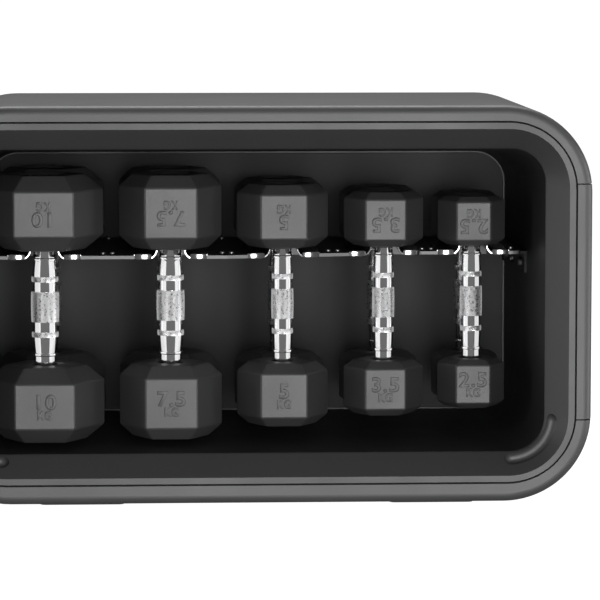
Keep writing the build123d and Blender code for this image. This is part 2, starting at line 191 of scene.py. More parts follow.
def make_brushed_group():
    """Fine lines left by a turning tool or a brush, running round or along the part."""
    inputs = {"Across": 30.0, "Along": 4000.0}
    group, given, result = new_group("brushed_lines", inputs, {"Lines": "NodeSocketFloat"})
    place = group.nodes.new("ShaderNodeTexCoord")
    stretch = group.nodes.new("ShaderNodeCombineXYZ")
    group.links.new(given.outputs["Across"], stretch.inputs["X"])
    group.links.new(given.outputs["Across"], stretch.inputs["Y"])
    group.links.new(given.outputs["Along"], stretch.inputs["Z"])
    scaled = group.nodes.new("ShaderNodeVectorMath")
    scaled.operation = "MULTIPLY"
    group.links.new(place.outputs["Object"], scaled.inputs[0])
    group.links.new(stretch.outputs["Vector"], scaled.inputs[1])
    noise = group.nodes.new("ShaderNodeTexNoise")
    noise.inputs["Scale"].default_value = 1.0
    group.links.new(scaled.outputs["Vector"], noise.inputs["Vector"])
    group.links.new(noise.outputs["Fac"], result.inputs["Lines"])
    return group


# ---- Materials ----
def new_material(name, color, roughness, metallic=0.0, specular=0.5):
    material = bpy.data.materials.new(name)
    material.use_nodes = True
    shader = material.node_tree.nodes["Principled BSDF"]
    shader.inputs["Base Color"].default_value = (*color, 1)
    shader.inputs["Roughness"].default_value = roughness
    shader.inputs["Metallic"].default_value = metallic
    shader.inputs["Specular IOR Level"].default_value = specular
    return material, shader


def add_group(material, group, **values):
    node = material.node_tree.nodes.new("ShaderNodeGroup")
    node.node_tree = group
    for socket, value in values.items():
        node.inputs[socket.replace("_", " ")].default_value = value
    return node


def shade_range(material, source, target, low, high):
    """Spreads the middle of a noise pattern over low to high and feeds it to the target socket."""
    spread = map_range(material.node_tree, source, *NOISE_SPAN, low, high)
    material.node_tree.links.new(spread, target)


def blend_color(material, shader, factor, first, second):
    """Takes the base colour from first to second as the factor goes from 0 to 1."""
    mix = material.node_tree.nodes.new("ShaderNodeMix")
    mix.data_type = "RGBA"
    mix.inputs[MIX_COLOR_A].default_value = (*first, 1)
    mix.inputs[MIX_COLOR_B].default_value = (*second, 1)
    material.node_tree.links.new(factor, mix.inputs["Factor"])
    material.node_tree.links.new(mix.outputs[MIX_COLOR_RESULT], shader.inputs["Base Color"])


def vary_color(material, shader, source, color, amount):
    """Moves the base colour up and down by amount with a noise pattern."""
    factor = map_range(material.node_tree, source, *NOISE_SPAN, 0, 1)
    darker = [part * (1 - amount) for part in color]
    lighter = [part * (1 + amount) for part in color]
    blend_color(material, shader, factor, darker, lighter)


def add_bump(material, shader, source, strength, distance):
    bump = material.node_tree.nodes.new("ShaderNodeBump")
    bump.inputs["Strength"].default_value = strength
    bump.inputs["Distance"].default_value = distance
    material.node_tree.links.new(source, bump.inputs["Height"])
    material.node_tree.links.new(bump.outputs["Normal"], shader.inputs["Normal"])


def grained(name, color, roughness, grain_scale, depth, patch=0.08, specular=0.5):
    material, shader = new_material(name, color, roughness, specular=specular)
    grain = add_group(material, GRAIN, Grain_Scale=grain_scale)
    vary_color(material, shader, grain.outputs["Patches"], color, patch)
    shade_range(material, grain.outputs["Patches"], shader.inputs["Roughness"],
                roughness - 0.03, roughness + 0.03)
    add_bump(material, shader, grain.outputs["Grain"], 0.5, depth)
    return material


def brushed(name, color, roughness, across, along, depth):
    material, shader = new_material(name, color, roughness, metallic=1.0)
    lines = add_group(material, BRUSHED, Across=across, Along=along)
    shade_range(material, lines.outputs["Lines"], shader.inputs["Roughness"],
                roughness * 0.75, roughness * 1.35)
    add_bump(material, shader, lines.outputs["Lines"], 0.3, depth)
    return material


def liner_skin(name):
    """Satin plastic round the mouth, darker and flatter inside the well, where the darker colour is
    painted shade.
    """
    material, shader = new_material(name, WELL_SHADE_BLACK, 0.50)
    tree = material.node_tree
    grain = add_group(material, GRAIN, Grain_Scale=3000.0)
    place = tree.nodes.new("ShaderNodeTexCoord")
    parts = tree.nodes.new("ShaderNodeSeparateXYZ")
    tree.links.new(place.outputs["Object"], parts.inputs["Vector"])
    # Painted shade: past the mouth the colour turns from the bevel's own colour to a darker one.
    depth = map_range(tree, parts.outputs["Y"], MOUTH_Y - 0.002, MOUTH_Y + 0.001, 0, 1)
    blend_color(material, shader, depth, BEVEL_BLACK, WELL_SHADE_BLACK)
    shade_range(material, grain.outputs["Patches"], shader.inputs["Roughness"], 0.46, 0.53)
    add_bump(material, shader, grain.outputs["Grain"], 0.5, 0.00005)
    return material


def painted_plate(name):
    """Black powder coat, with faces that point to the front painted light grey: a painted highlight on the
    sheared front edge.
    """
    material, shader = new_material(name, PAINT_BLACK, 0.45)
    tree = material.node_tree
    grain = add_group(material, GRAIN, Grain_Scale=1800.0)
    facing = tree.nodes.new("ShaderNodeNewGeometry")
    parts = tree.nodes.new("ShaderNodeSeparateXYZ")
    tree.links.new(facing.outputs["Normal"], parts.inputs["Vector"])
    # Painted highlight: faces that point to the front turn light grey.
    front_highlight = map_range(tree, parts.outputs["Y"], -0.5, -0.8, 0, 1)
    blend_color(material, shader, front_highlight, PAINT_BLACK, FRONT_HIGHLIGHT_GREY)
    add_bump(material, shader, grain.outputs["Grain"], 0.4, 0.00006)
    return material


GRAIN = make_grain_group()
BRUSHED = make_brushed_group()
MATERIALS = {
    "cover_plastic": grained("cover_plastic", COVER_GREY, 0.50, 2600.0, 0.00008),
    "rear_plastic": grained("rear_plastic", COVER_GREY, 0.55, 2600.0, 0.00008),
    "liner_plastic": liner_skin("liner_plastic"),
    "panel_plastic": grained("panel_plastic", PANEL_GREY, 0.50, 3000.0, 0.00004, specular=0.12),
    "seal_rubber": grained("seal_rubber", STRIP_BLACK, 0.7, 2000.0, 0.00005, specular=0.1),
    "foot_rubber": grained("foot_rubber", STRIP_BLACK, 0.75, 2000.0, 0.0001),
    "frame_steel": grained("frame_steel", PAINT_BLACK, 0.5, 1800.0, 0.00006),
    "head_rubber": grained("head_rubber", RUBBER_BLACK, 0.46, 1000.0, 0.0003, patch=0.12),
    "core_iron": grained("core_iron", PANEL_GREY, 0.8, 900.0, 0.0002),
    "shelf_paint": painted_plate("shelf_paint"),
    "saddle_steel": brushed("saddle_steel", BARE_STEEL, 0.16, 40.0, 3000.0, 0.00002),
    "screw_steel": brushed("screw_steel", BARE_STEEL, 0.40, 2000.0, 2000.0, 0.00002),
    "handle_chrome": brushed("handle_chrome", CHROME, 0.07, 8.0, 2500.0, 0.000003),
    "knurl_chrome": brushed("knurl_chrome", CHROME, 0.30, 400.0, 400.0, 0.00002),
}


def dress_cad_nodes():
    for row in frame["record"]["subparts"]:
        node = frame["nodes"][row["node"]]
        node.data.materials.clear()
        node.data.materials.append(MATERIALS[row["material_slot"]])


# ---- Mesh helpers ----
def new_object(name, mesh, material):
    mesh.materials.clear()
    mesh.materials.append(MATERIALS[material])
    piece = bpy.data.objects.new(name, mesh)
    bpy.context.collection.objects.link(piece)
    return piece


def mesh_from(bm, name):
    mesh = bpy.data.meshes.new(name)
    bm.to_mesh(mesh)
    bm.free()
    return mesh


def settle(piece):
    """Turns a piece's modifiers into a plain mesh."""
    bpy.context.view_layer.update()
    depsgraph = bpy.context.evaluated_depsgraph_get()
    mesh = bpy.data.meshes.new_from_object(piece.evaluated_get(depsgraph), depsgraph=depsgraph)
    piece.modifiers.clear()
    piece.data = mesh
    return piece


def smooth(mesh, angle):
    mesh.shade_smooth()
    mesh.set_sharp_from_angle(angle=math.radians(angle))


def circle(bm, center, radius, z, count):
    turns = [2 * math.pi / count * i for i in range(count)]
    x, y = center
    return [bm.verts.new((x + radius * math.cos(turn), y + radius * math.sin(turn), z)) for turn in turns]


def bridge(bm, lower, upper):
    count = len(lower)
    return [bm.faces.new((lower[i], lower[(i + 1) % count], upper[(i + 1) % count], upper[i]))
            for i in range(count)]


# ---- Heads ----
def head_mesh(name, box, shape, outer_up):
    """A hexagonal head: bevelled at both ends, dished round the handle and recessed outside."""
    low, high = box
    center = ((low[0] + high[0]) / 2, (low[1] + high[1]) / 2)
    apothem = (high[1] - low[1]) / 2
    inner_z, outer_z, up = (low[2], high[2], 1) if outer_up else (high[2], low[2], -1)
    small = apothem - shape.bevel_in
    bm = bmesh.new()
    weight = bm.edges.layers.float.new("bevel_weight_edge")

    def hexagon(reach, z):
        corner = reach / math.cos(math.pi / 6)
        return circle(bm, center, corner, z, 6)

    rings = [
        hexagon(small, inner_z),
        hexagon(apothem, inner_z + up * shape.bevel),
        hexagon(apothem, outer_z - up * shape.bevel),
        hexagon(small, outer_z),
    ]
    for lower, upper in zip(rings, rings[1:]):
        bridge(bm, lower, upper)
    for edge in bm.edges:
        edge[weight] = 1.0
    share = 8
    dish_r = shape.collar + DISH
    recess_r = 0.6 * small
    collar = shape.collar
    ends = (
        (rings[0], [(dish_r, inner_z), (collar, inner_z + 0.002 * up), (collar, inner_z + 0.006 * up)]),
        (rings[3], [(recess_r, outer_z), (recess_r - 0.0006, outer_z - 0.0015 * up)]),
    )
    for corners, steps in ends:
        loops = [circle(bm, center, radius, z, 6 * share) for radius, z in steps]
        for side in range(6):
            near = [loops[0][(side * share + i) % (6 * share)] for i in range(share, -1, -1)]
            bm.faces.new([corners[side], corners[(side + 1) % 6]] + near)
        for first, second in zip(loops, loops[1:]):
            bridge(bm, first, second)
        bm.faces.new(loops[-1])
        for edge in bm.edges:
            if edge.verts[0] in corners and edge.verts[1] in corners:
                edge[weight] = 1.0
    bmesh.ops.recalc_face_normals(bm, faces=bm.faces)
    return mesh_from(bm, name)


def make_head(node, body, shape, outer_up):
    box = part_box(node)
    piece = new_object(f"{node}_cover", head_mesh(node, box, shape, outer_up), "head_rubber")
    piece.data.shade_smooth()
    rounding = piece.modifiers.new("edges", "BEVEL")
    rounding.width = EDGE_ROUND
    rounding.segments = 3
    rounding.limit_method = "WEIGHT"
    rounding.harden_normals = True
    settle(piece)
    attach(piece, body)
    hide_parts(node)
    make_marks(node, body, shape, box, outer_up)


def word_mesh(name, word, mark):
    """A raised word, lying flat and centred on the origin."""
    curve = bpy.data.curves.new(name, "FONT")
    curve.body = word
    curve.align_x = "CENTER"
    curve.resolution_u = 5
    curve.space_character = 1.12
    text = bpy.data.objects.new(name, curve)
    bpy.context.collection.objects.link(text)
    bpy.context.view_layer.update()
    curve.size = mark.height / text.dimensions.y
    curve.extrude = MARK_RAISED
    curve.bevel_depth = mark.edge
    curve.offset = MARK_BOLD
    curve.bevel_resolution = 1
    bpy.context.view_layer.update()
    depsgraph = bpy.context.evaluated_depsgraph_get()
    mesh = bpy.data.meshes.new_from_object(text.evaluated_get(depsgraph), depsgraph=depsgraph)
    bpy.data.objects.remove(text)
    heights = [vertex.co.y for vertex in mesh.vertices]
    middle = (min(heights) + max(heights)) / 2
    mesh.transform(Matrix.Diagonal((mark.stretch, 1, 1, 1)) @ Matrix.Translation((0, -middle, 0)))
    return mesh


def make_marks(node, body, shape, box, outer_up):
    """The weight in raised figures on the front flat, upside down on the upper head."""
    low, high = box
    middle = ((low[0] + high[0]) / 2, low[1], (low[2] + high[2]) / 2)
    flip = Matrix.Rotation(math.pi, 4, "Y") if outer_up else Matrix.Identity(4)
    bm = bmesh.new()
    for word, mark in ((shape.label, NUMBER), ("KG", UNIT)):
        mesh = word_mesh(f"{node}_word", word, mark)
        stand = Matrix.Translation((0, 0, mark.rise)) @ Matrix.Rotation(math.pi / 2, 4, "X")
        mesh.transform(Matrix.Translation(middle) @ flip @ stand)
        bm.from_mesh(mesh)
        bpy.data.meshes.remove(mesh)
    bmesh.ops.remove_doubles(bm, verts=bm.verts, dist=0.000005)
    bmesh.ops.recalc_face_normals(bm, faces=bm.faces)
    marks = new_object(f"{node}_marks", mesh_from(bm, f"{node}_marks"), "head_rubber")
    smooth(marks.data, 40)
    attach(marks, body)


# ---- Handles ----
def turned_mesh(name, center, profile, count=72):
    """A solid of revolution about a vertical line, from a list of radius and height pairs."""
    bm = bmesh.new()
    loops = [circle(bm, center, radius, z, count) for radius, z in profile]
    for lower, upper in zip(loops, loops[1:]):
        bridge(bm, lower, upper)
    bm.faces.new(loops[0])
    bm.faces.new(loops[-1])
    bmesh.ops.recalc_face_normals(bm, faces=bm.faces)
    return mesh_from(bm, name)


def handle_profile(shape, reach):
    """Radius and height of the smooth parts, from the middle up, mirrored for the lower half."""
    shaft, neck, collar = SHAFT_SHARE * shape.grip, NECK_SHARE * shape.grip, shape.collar
    taper = []
    for step in range(NECK_STEPS + 1):
        share = step / NECK_STEPS
        taper.append((neck + (collar - neck) * share ** 1.25, NECK_START + NECK_LENGTH * share))
    half = [(shaft, 0.0), (shaft, 0.0268)] + taper + [
        (collar + 0.0001, 0.0494), (collar + 0.0008, 0.0497), (collar + 0.0010, 0.0503),
        (collar + 0.0010, 0.0517), (collar + 0.0008, 0.0523), (collar, 0.0526),
        (collar, 0.0594), (collar - 0.0015, 0.0600), (collar - 0.0015, reach),
    ]
    return [(radius, -z) for radius, z in reversed(half[1:])] + half


# ---- Geometry Nodes ----
def new_tree(name, inputs):
    tree = bpy.data.node_groups.new(name, "GeometryNodeTree")
    for socket, (kind, value) in inputs.items():
        made = tree.interface.new_socket(socket, in_out="INPUT", socket_type=f"NodeSocket{kind}")
        if value is not None:
            made.default_value = value
    tree.interface.new_socket("Geometry", in_out="OUTPUT", socket_type="NodeSocketGeometry")
    return tree, tree.nodes.new("NodeGroupInput"), tree.nodes.new("NodeGroupOutput")


def feed(tree, socket, value):
    if isinstance(value, bpy.types.NodeSocket):
        tree.links.new(value, socket)
    else:
        socket.default_value = value


def maths(tree, operation, *values):
    node = tree.nodes.new("ShaderNodeMath")
    node.operation = operation
    for socket, value in zip(node.inputs, values):
        feed(tree, socket, value)
    return node.outputs[0]


def finish_tree(tree, result, geometry, material):
    realize = tree.nodes.new("GeometryNodeRealizeInstances")
    paint = tree.nodes.new("GeometryNodeSetMaterial")
    paint.inputs["Material"].default_value = MATERIALS[material]
    tree.links.new(geometry, realize.inputs["Geometry"])
    tree.links.new(realize.outputs["Geometry"], paint.inputs["Geometry"])
    tree.links.new(paint.outputs["Geometry"], result.inputs["Geometry"])


def run_tree(holder, tree, **values):
    """Runs a tree once on a piece with the given inputs and keeps its result as a plain mesh."""
    modifier = holder.modifiers.new("shape", "NODES")
    modifier.node_group = tree
    for item in tree.interface.items_tree:
        label = item.name.replace(" ", "_").lower()
        if item.in_out == "INPUT" and label in values:
            modifier[item.identifier] = values[label]
    return settle(holder)


def make_knurl_tree():
    """A sleeve closed at both ends, with peaks and valleys in alternate places round and along it."""
    tree, given, result = new_tree("knurled_sleeve", {
        "Middle": ("Vector", (0, 0, 0)), "Radius": ("Float", 0.015), "Length": ("Float", 0.03),
        "Belly": ("Float", 0.0004), "Depth": ("Float", 0.0004),
        "Columns": ("Int", 120), "Rows": ("Int", 40)})
    grid = tree.nodes.new("GeometryNodeMeshGrid")
    grid.inputs["Size X"].default_value = 1
    grid.inputs["Size Y"].default_value = 1
    tree.links.new(maths(tree, "ADD", given.outputs["Columns"], 1), grid.inputs["Vertices X"])
    tree.links.new(maths(tree, "ADD", given.outputs["Rows"], 3), grid.inputs["Vertices Y"])
    place = tree.nodes.new("GeometryNodeInputPosition")
    parts = tree.nodes.new("ShaderNodeSeparateXYZ")
    tree.links.new(place.outputs["Position"], parts.inputs["Vector"])
    across = maths(tree, "ADD", parts.outputs["X"], 0.5)
    along = maths(tree, "ADD", parts.outputs["Y"], 0.5)
    column = maths(tree, "ROUND", maths(tree, "MULTIPLY", across, given.outputs["Columns"]))
    last_row = maths(tree, "ADD", given.outputs["Rows"], 2)
    row = maths(tree, "ROUND", maths(tree, "MULTIPLY", along, last_row))
    angle = maths(tree, "MULTIPLY", across, 2 * math.pi)
    share = maths(tree, "DIVIDE", maths(tree, "SUBTRACT", row, 1), given.outputs["Rows"])
    clamp = tree.nodes.new("ShaderNodeClamp")
    tree.links.new(share, clamp.inputs["Value"])
    level = maths(tree, "SUBTRACT", clamp.outputs["Result"], 0.5)
    odd = maths(tree, "MODULO", maths(tree, "ADD", column, row), 2)
    bulge = maths(tree, "MULTIPLY", maths(tree, "MULTIPLY", level, level), 4)
    drop = maths(tree, "MULTIPLY", bulge, given.outputs["Belly"])
    radius = maths(tree, "SUBTRACT", given.outputs["Radius"], drop)
    radius = maths(tree, "SUBTRACT", radius, maths(tree, "MULTIPLY", odd, given.outputs["Depth"]))
    inside = maths(tree, "MULTIPLY", maths(tree, "GREATER_THAN", row, 0.5),
                   maths(tree, "LESS_THAN", row, maths(tree, "SUBTRACT", last_row, 0.5)))
    radius = maths(tree, "MULTIPLY", radius, inside)
    point = tree.nodes.new("ShaderNodeCombineXYZ")
    tree.links.new(maths(tree, "MULTIPLY", radius, maths(tree, "COSINE", angle)), point.inputs["X"])
    tree.links.new(maths(tree, "MULTIPLY", radius, maths(tree, "SINE", angle)), point.inputs["Y"])
    tree.links.new(maths(tree, "MULTIPLY", level, given.outputs["Length"]), point.inputs["Z"])
    shift = tree.nodes.new("ShaderNodeVectorMath")
    tree.links.new(point.outputs["Vector"], shift.inputs[0])
    tree.links.new(given.outputs["Middle"], shift.inputs[1])
    move = tree.nodes.new("GeometryNodeSetPosition")
    tree.links.new(grid.outputs["Mesh"], move.inputs["Geometry"])
    tree.links.new(shift.outputs["Vector"], move.inputs["Position"])
    weld = tree.nodes.new("GeometryNodeMergeByDistance")
    weld.inputs["Distance"].default_value = 0.00002
    tree.links.new(move.outputs["Geometry"], weld.inputs["Geometry"])
    finish_tree(tree, result, weld.outputs["Geometry"], "knurl_chrome")
    return tree


def make_handle(node, body, shape):
    low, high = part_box(node)
    center = ((low[0] + high[0]) / 2, (low[1] + high[1]) / 2)
    middle_z = (low[2] + high[2]) / 2
    reach = (high[2] - low[2]) / 2
    profile = [(radius, middle_z + z) for radius, z in handle_profile(shape, reach)]
    shaft = new_object(f"{node}_shaft", turned_mesh(node, center, profile), "handle_chrome")
    smooth(shaft.data, 35)
    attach(shaft, body)
    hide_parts(node)
    HANDLES.append(shaft)
    columns = 2 * round(math.pi * shape.grip / KNURL_PITCH)
    sleeves = (
        ("grip", 0.0, GRIP_LENGTH, shape.grip, 0.025 * shape.grip),
        ("upper_ring", RING_RISE, RING_LENGTH, 0.95 * shape.grip, 0.0002),
        ("lower_ring", -RING_RISE, RING_LENGTH, 0.95 * shape.grip, 0.0002),
    )
    for name, rise, length, radius, belly in sleeves:
        full_name = f"{body}_{name}"
        sleeve = new_object(full_name, bpy.data.meshes.new(full_name), "knurl_chrome")
        run_tree(sleeve, KNURL_TREE, middle=(*center, middle_z + rise), radius=radius, length=length,
                 belly=belly, depth=KNURL_DEPTH, columns=columns, rows=2 * round(length / KNURL_PITCH))
        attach(sleeve, body)
        KNURLS.append(sleeve)


# ---- Shelf ----
def islands(node):
    """The box of each separate body in a CAD node."""
    bm = bmesh.new()
    bm.from_mesh(frame["nodes"][node].data)
    bmesh.ops.remove_doubles(bm, verts=bm.verts, dist=0.000001)
    seen = set()
    boxes = []
    for start in bm.verts:
        if start in seen:
            continue
        seen.add(start)
        pile, found = [start], []
        while pile:
            vert = pile.pop()
            found.append(vert.co.copy())
            for edge in vert.link_edges:
                other = edge.other_vert(vert)
                if other not in seen:
                    seen.add(other)
                    pile.append(other)
        boxes.append((Vector([min(co[axis] for co in found) for axis in range(3)]),
                      Vector([max(co[axis] for co in found) for axis in range(3)])))
    bm.free()
    return boxes


def saddle_section(thickness):
    """The sheet's outline across its run: distance from the slot's middle, and height over the plate."""
    line = [(14.3, 5.4), (14.6, 3.6), (15.4, 1.8), (16.7, -0.2), (18.3, -1.8), (20.1, -2.9), (21.3, -3.1),
            (22.1, -2.4), (22.3, -1.0), (22.5, -0.1), (23.2, 0.2), (24.5, 0.2), (38.5, 0.2)]
    line = [(radius / 1000, height / 1000) for radius, height in line]
    above = []
    for index, (radius, height) in enumerate(line):
        before = Vector(line[max(index - 1, 0)])
        after = Vector(line[min(index + 1, len(line) - 1)])
        ahead = (after - before).normalized()
        above.append((radius - ahead.y * thickness, height + ahead.x * thickness))
    return line + above[::-1]


def make_saddle_tree():
    """A formed sheet that runs down one side of a slot, round its rear end and back up the other side."""
    tree, given, result = new_tree("formed_saddle", {
        "Section": ("Geometry", None), "Middle": ("Vector", (0, 0, 0)), "Leg": ("Float", 0.1),
        "Path Radius": ("Float", 0.0265), "Slant": ("Float", 0.0), "Steps": ("Int", 97)})
    line = tree.nodes.new("GeometryNodeCurvePrimitiveLine")
    fine = tree.nodes.new("GeometryNodeResampleCurve")
    tree.links.new(line.outputs["Curve"], fine.inputs["Curve"])
    tree.links.new(given.outputs["Steps"], fine.inputs["Count"])
    spline = tree.nodes.new("GeometryNodeSplineParameter")
    travel = spline.outputs["Factor"]

    leg_in = map_range(tree, travel, 0, 0.25, 0, 1)
    round_end = map_range(tree, travel, 0.25, 0.75, 0, 1)
    leg_out = map_range(tree, travel, 0.75, 1, 0, 1)
    angle = maths(tree, "MULTIPLY", round_end, math.pi)
    radius = given.outputs["Path Radius"]
    ahead = maths(tree, "SUBTRACT", leg_in, maths(tree, "ADD", leg_out, 1))
    point = tree.nodes.new("ShaderNodeCombineXYZ")
    sideways = maths(tree, "MULTIPLY", maths(tree, "COSINE", angle), maths(tree, "MULTIPLY", radius, -1))
    arch = maths(tree, "MULTIPLY", maths(tree, "SINE", angle), radius)
    inward = maths(tree, "ADD", arch, maths(tree, "MULTIPLY", ahead, given.outputs["Leg"]))
    tree.links.new(sideways, point.inputs["X"])
    tree.links.new(inward, point.inputs["Y"])
    route = tree.nodes.new("GeometryNodeSetPosition")
    tree.links.new(fine.outputs["Curve"], route.inputs["Geometry"])
    tree.links.new(point.outputs["Vector"], route.inputs["Position"])
    level = tree.nodes.new("GeometryNodeSetCurveNormal")
    level.mode = "Z_UP"
    tree.links.new(route.outputs["Geometry"], level.inputs["Curve"])
    outline = tree.nodes.new("GeometryNodeMeshToCurve")
    tree.links.new(given.outputs["Section"], outline.inputs["Mesh"])
    sweep = tree.nodes.new("GeometryNodeCurveToMesh")
    tree.links.new(level.outputs["Curve"], sweep.inputs["Curve"])
    tree.links.new(outline.outputs["Curve"], sweep.inputs["Profile Curve"])
    sweep.inputs["Fill Caps"].default_value = True
    place = tree.nodes.new("GeometryNodeInputPosition")
    parts = tree.nodes.new("ShaderNodeSeparateXYZ")
    tree.links.new(place.outputs["Position"], parts.inputs["Vector"])
    near = tree.nodes.new("ShaderNodeClamp")
    whole_leg = maths(tree, "MULTIPLY", given.outputs["Leg"], -1)
    tree.links.new(maths(tree, "DIVIDE", parts.outputs["Y"], whole_leg), near.inputs["Value"])
    skew = maths(tree, "MULTIPLY", maths(tree, "MULTIPLY", parts.outputs["X"], given.outputs["Slant"]),
                 near.outputs["Result"])
    shift = tree.nodes.new("ShaderNodeCombineXYZ")
    tree.links.new(skew, shift.inputs["Y"])
    total = tree.nodes.new("ShaderNodeVectorMath")
    tree.links.new(shift.outputs["Vector"], total.inputs[0])
    tree.links.new(given.outputs["Middle"], total.inputs[1])
    move = tree.nodes.new("GeometryNodeSetPosition")
    tree.links.new(sweep.outputs["Mesh"], move.inputs["Geometry"])
    tree.links.new(total.outputs["Vector"], move.inputs["Offset"])
    finish_tree(tree, result, move.outputs["Geometry"], "saddle_steel")
    return tree


def outline_mesh(name, points):
    mesh = bpy.data.meshes.new(name)
    count = len(points)
    mesh.from_pydata([(x, y, 0) for x, y in points], [(i, (i + 1) % count) for i in range(count)], [])
    return mesh


def hem(bm, middle, near, far, slant, top):
    """The rolled front end of a saddle's flange: a flattened bar with a gently bulging face."""
    stations = 14
    half = HEM_DROP / 2
    loops = []
    for step in range(stations + 1):
        share = step / stations
        x = near + (far - near) * share
        end = 1 - (2 * share - 1) ** 6
        bulge = HEM_BULGE * (1 - (2 * share - 1) ** 2)
        front = -HEM_THICK - bulge
        loop = []
        for turn in range(16):
            angle = 2 * math.pi * turn / 16
            y = front / 2 + (front / 2) * math.copysign(abs(math.cos(angle)) ** 0.35, math.cos(angle))
            z = half * math.copysign(abs(math.sin(angle)) ** 0.45, math.sin(angle)) * (0.72 + 0.28 * end)
            loop.append(bm.verts.new((middle[0] + x, middle[1] + slant * x + y, top - half + z)))
        loops.append(loop)
    for first, second in zip(loops, loops[1:]):
        bridge(bm, first, second)
    bm.faces.new(loops[0])
    bm.faces.new(loops[-1])


def make_saddles():
    boxes = sorted(islands("slot_saddles"), key=lambda pair: pair[0].x)
    plate_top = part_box("shelf_plate")[1][2]
    for weight, (low, high) in zip(SHAPES, boxes):
        center_x = (low.x + high.x) / 2
        rear_y = high.y - FLANGE_R
        left_y, right_y = corner_fronts(center_x)
        slant = (right_y - left_y) / (2 * FLANGE_R)
        front_y = (left_y + right_y) / 2
        section = outline_mesh("section", [(PATH_RADIUS - radius, -height)
                                           for radius, height in saddle_section(SADDLE_SHEET)])
        holder = new_object(f"saddle_{weight}", section, "saddle_steel")
        run_tree(holder, SADDLE_TREE, middle=(center_x, rear_y, plate_top), leg=rear_y - front_y,
                 slant=slant, path_radius=PATH_RADIUS)
        bm = bmesh.new()
        bm.from_mesh(holder.data)
        for side in (-1, 1):
            near, far = sorted((side * (LIP_R + 0.0062), side * (FLANGE_R - 0.0003)))
            hem(bm, (center_x, front_y + 0.0001), near, far, slant, plate_top + HEM_RISE)
        bmesh.ops.remove_doubles(bm, verts=bm.verts, dist=0.000002)
        bmesh.ops.recalc_face_normals(bm, faces=bm.faces)
        bm.to_mesh(holder.data)
        bm.free()
        smooth(holder.data, 38)
        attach(holder, "cabinet")
        BRIGHT_STEEL.append(holder)
    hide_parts("slot_saddles")


def corner_fronts(center_x):
    """Where the plate's front edge passes the left and right sides of one saddle."""
    bm = bmesh.new()
    bm.from_mesh(frame["nodes"]["slot_saddles"].data)
    fronts = []
    for side in (-1, 1):
        edge_x = center_x + side * FLANGE_R
        fronts.append(min(vert.co.y for vert in bm.verts if abs(vert.co.x - edge_x) < 0.0006))
    bm.free()
    return [front + 0.003 for front in fronts]


# ---- Screws ----
def screw_template(name):
    """A pan head with a hexagonal socket on a plain shank, for a head of radius 1."""
    bm = bmesh.new()
    count = 24
    rounds = [(0.68, -1.0), (0.68, 0.0), (1.0, 0.0), (1.0, 0.28), (0.94, 0.48), (0.80, 0.60), (0.62, 0.64)]
    loops = [circle(bm, (0, 0), radius, z, count) for radius, z in rounds]
    for reach, z in ((0.52, 0.64), (0.48, 0.60), (0.47, 0.22)):
        loop = []
        for step in range(count):
            angle = 2 * math.pi * step / count
            off = (angle + math.pi / 6) % (math.pi / 3) - math.pi / 6
            radius = reach * math.cos(math.pi / 6) / math.cos(off)
            loop.append(bm.verts.new((radius * math.cos(angle), radius * math.sin(angle), z)))
        loops.append(loop)
    for lower, upper in zip(loops, loops[1:]):
        bridge(bm, lower, upper)
    bm.faces.new(loops[0])
    bm.faces.new(loops[-1])
    bmesh.ops.recalc_face_normals(bm, faces=bm.faces)
    mesh = mesh_from(bm, name)
    smooth(mesh, 35)
    return mesh


def make_screw_tree(template):
    """Copies of one screw, standing on every point of the mesh that it is given."""
    tree, given, result = new_tree("set_screws", {
        "Points": ("Geometry", None), "Head Radius": ("Float", 0.003), "Turn": ("Vector", (0, 0, 0))})
    source = tree.nodes.new("GeometryNodeObjectInfo")
    source.inputs["Object"].default_value = template
    dots = tree.nodes.new("GeometryNodeMeshToPoints")
    tree.links.new(given.outputs["Points"], dots.inputs["Mesh"])
    size = tree.nodes.new("ShaderNodeCombineXYZ")
    for axis in "XYZ":
        tree.links.new(given.outputs["Head Radius"], size.inputs[axis])
    copies = tree.nodes.new("GeometryNodeInstanceOnPoints")
    tree.links.new(dots.outputs["Points"], copies.inputs["Points"])
    tree.links.new(source.outputs["Geometry"], copies.inputs["Instance"])
    tree.links.new(given.outputs["Turn"], copies.inputs["Rotation"])
    tree.links.new(size.outputs["Vector"], copies.inputs["Scale"])
    finish_tree(tree, result, copies.outputs["Instances"], "screw_steel")
    return tree


def make_screws(tree, node, axis, heads_high, select=None):
    """Socket screws where the CAD node has plain ones, with their heads at one end of the axis."""
    turns = {(0, True): (0, math.pi / 2, 0), (0, False): (0, -math.pi / 2, 0),
             (1, True): (-math.pi / 2, 0, 0), (2, True): (0, 0, 0)}
    seats = []
    radius = 0
    for low, high in islands(node):
        if select and not select(low):
            continue
        across = [other for other in range(3) if other != axis]
        radius = (high[across[0]] - low[across[0]]) / 2
        seat = (low + high) / 2
        depth = 0.64 * radius
        seat[axis] = high[axis] - depth if heads_high else low[axis] + depth
        seats.append(tuple(seat))
    suffix = "" if select is None else ("_right" if heads_high is False else "_left")
    mesh = bpy.data.meshes.new(node)
    mesh.from_pydata(seats, [], [])
    holder = new_object(f"{node}_set{suffix}", mesh, "screw_steel")
    run_tree(holder, tree, head_radius=radius, turn=turns[(axis, heads_high)])
    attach(holder, "cabinet")
    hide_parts(node)
    BRIGHT_STEEL.append(holder)


